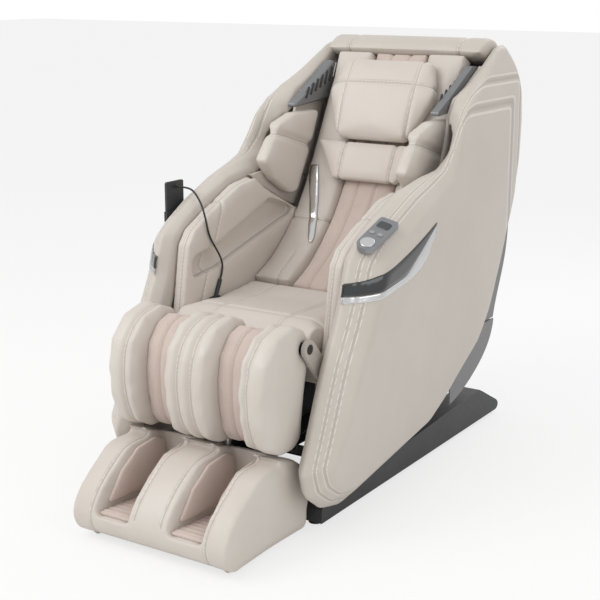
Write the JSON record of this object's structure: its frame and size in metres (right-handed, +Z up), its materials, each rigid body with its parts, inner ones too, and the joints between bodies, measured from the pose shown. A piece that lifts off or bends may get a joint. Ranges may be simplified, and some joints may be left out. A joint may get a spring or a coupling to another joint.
{
  "type": "massage chair",
  "caption": "Reclining massage chair with side shells, back massage carriage, lifting calf rest with sliding foot wells, flip-over pillow and tablet remote.",
  "frame": {"origin": "centre of the footprint, on the floor", "axes": "+Z up, -Y the way the sitter faces, +X the sitter's left"},
  "size_m": [0.8264, 1.6469, 1.324],
  "materials": {
    "greige_leather": "soft grained, satin",
    "rose_mesh": "fine mesh, matt",
    "shell_plastic": "leathered cover over moulded panel, satin",
    "charcoal_plastic": "fine texture, matt",
    "gloss_black": "polished",
    "chrome_trim": "bright",
    "steel_frame": "black powder coat",
    "steel_bright": "ground",
    "rubber_black": "matt",
    "cable_black": "satin",
    "grey_cover": "fine texture, matt"
  },
  "bodies": {
    "base": {"base_frame": "steel_frame", "base_skid_left": "charcoal_plastic", "base_skid_right": "charcoal_plastic", "base_feet": "rubber_black", "slide_rails": "steel_bright", "wheel_axles": "steel_bright", "power_box": "charcoal_plastic", "power_inlet": "charcoal_plastic"},
    "wheel_left": {"transport_wheel_left": "charcoal_plastic"},
    "wheel_right": {"transport_wheel_right": "charcoal_plastic"},
    "carriage": {"seat_carriage": "steel_frame", "tilt_shaft": "steel_bright"},
    "pillow": {"head_pillow": "greige_leather"},
    "massage": {"massage_carriage": "steel_frame"},
    "kneader": {"kneading_arms": "steel_frame", "kneading_rollers": "rubber_black"},
    "leg_rest": {"calf_frame": "steel_frame", "calf_wall_left": "greige_leather", "calf_wall_right": "greige_leather", "calf_divider": "greige_leather", "calf_pads": "rose_mesh"},
    "foot_rest": {"foot_box": "shell_plastic", "foot_rods": "steel_bright", "foot_soles": "rose_mesh", "foot_pads": "rose_mesh"},
    "remote": {"remote_tablet": "gloss_black"},
    "nav": {"nav_button": "chrome_trim"},
    "key_left": {"key_left": "charcoal_plastic"},
    "key_right": {"key_right": "charcoal_plastic"},
    "cabin": {"arm_rest_left": "greige_leather", "arm_rest_right": "greige_leather", "back_accent_left": "chrome_trim", "back_accent_right": "chrome_trim", "back_bolster_left": "greige_leather", "back_bolster_right": "greige_leather", "back_cushion": "rose_mesh", "back_frame": "steel_frame", "control_bezel": "gloss_black", "head_cap": "grey_cover", "neck_pad": "greige_leather", "rear_cover_lower": "grey_cover", "rear_cover_upper": "grey_cover", "remote_cord": "cable_black", "remote_holder": "charcoal_plastic", "remote_plug": "charcoal_plastic", "remote_socket": "charcoal_plastic", "seat_cushion": "greige_leather", "seat_frame": "steel_frame", "shoulder_pad_left": "greige_leather", "shoulder_pad_right": "greige_leather", "side_shell_left": "shell_plastic", "side_shell_right": "shell_plastic", "speaker_left": "charcoal_plastic", "speaker_right": "charcoal_plastic", "trim_black_left": "gloss_black", "trim_black_right": "gloss_black", "trim_silver_left": "chrome_trim", "trim_silver_right": "chrome_trim", "wing_pad_left": "greige_leather", "wing_pad_right": "greige_leather"}
  },
  "joints": [
    {"name": "wheel_spin_left", "type": "hinge", "parent": "base", "child": "wheel_left", "pos_m": [0.2445, 0.74, 0.032], "axis": [1, 0, 0], "continuous": true},
    {"name": "wheel_spin_right", "type": "hinge", "parent": "base", "child": "wheel_right", "pos_m": [-0.2445, 0.74, 0.032], "axis": [1, 0, 0], "continuous": true},
    {"name": "seat_glide", "type": "slide", "parent": "base", "child": "carriage", "axis": [0, -1, 0], "range_m": [0, 0.13]},
    {"name": "recline", "type": "hinge", "parent": "carriage", "child": "cabin", "pos_m": [0, 0.25, 0.31], "axis": [-1, 0, 0], "range_deg": [0, 25]},
    {"name": "pillow_flip", "type": "hinge", "parent": "cabin", "child": "pillow", "pos_m": [0, 0.5242, 1.2368], "axis": [-1, 0, 0], "range_deg": [0, 90]},
    {"name": "massage_travel", "type": "slide", "parent": "cabin", "child": "massage", "axis": [0, 0.4571, 0.8894], "range_m": [0, 0.22]},
    {"name": "kneader_rock", "type": "hinge", "parent": "massage", "child": "kneader", "pos_m": [0, 0.5075, 0.9362], "axis": [1, 0, 0], "range_deg": [-6, 6]},
    {"name": "leg_lift", "type": "hinge", "parent": "cabin", "child": "leg_rest", "pos_m": [0, -0.455, 0.545], "axis": [-1, 0, 0], "range_deg": [0, 80]},
    {"name": "foot_reach", "type": "slide", "parent": "leg_rest", "child": "foot_rest", "axis": [0, -0.14, -0.9902], "range_m": [0, 0.12]},
    {"name": "remote_lift", "type": "slide", "parent": "cabin", "child": "remote", "axis": [0, 0, 1], "range_m": [0, 0.1]},
    {"name": "nav_press", "type": "slide", "parent": "cabin", "child": "nav", "axis": [-0.1999, 0.3998, -0.8945], "range_m": [0, 0.0015], "stiffness_N_per_m": 300},
    {"name": "key_press_left", "type": "slide", "parent": "cabin", "child": "key_left", "axis": [-0.1999, 0.3998, -0.8945], "range_m": [0, 0.0015], "stiffness_N_per_m": 300},
    {"name": "key_press_right", "type": "slide", "parent": "cabin", "child": "key_right", "axis": [-0.1999, 0.3998, -0.8945], "range_m": [0, 0.0015], "stiffness_N_per_m": 300}
  ]
}
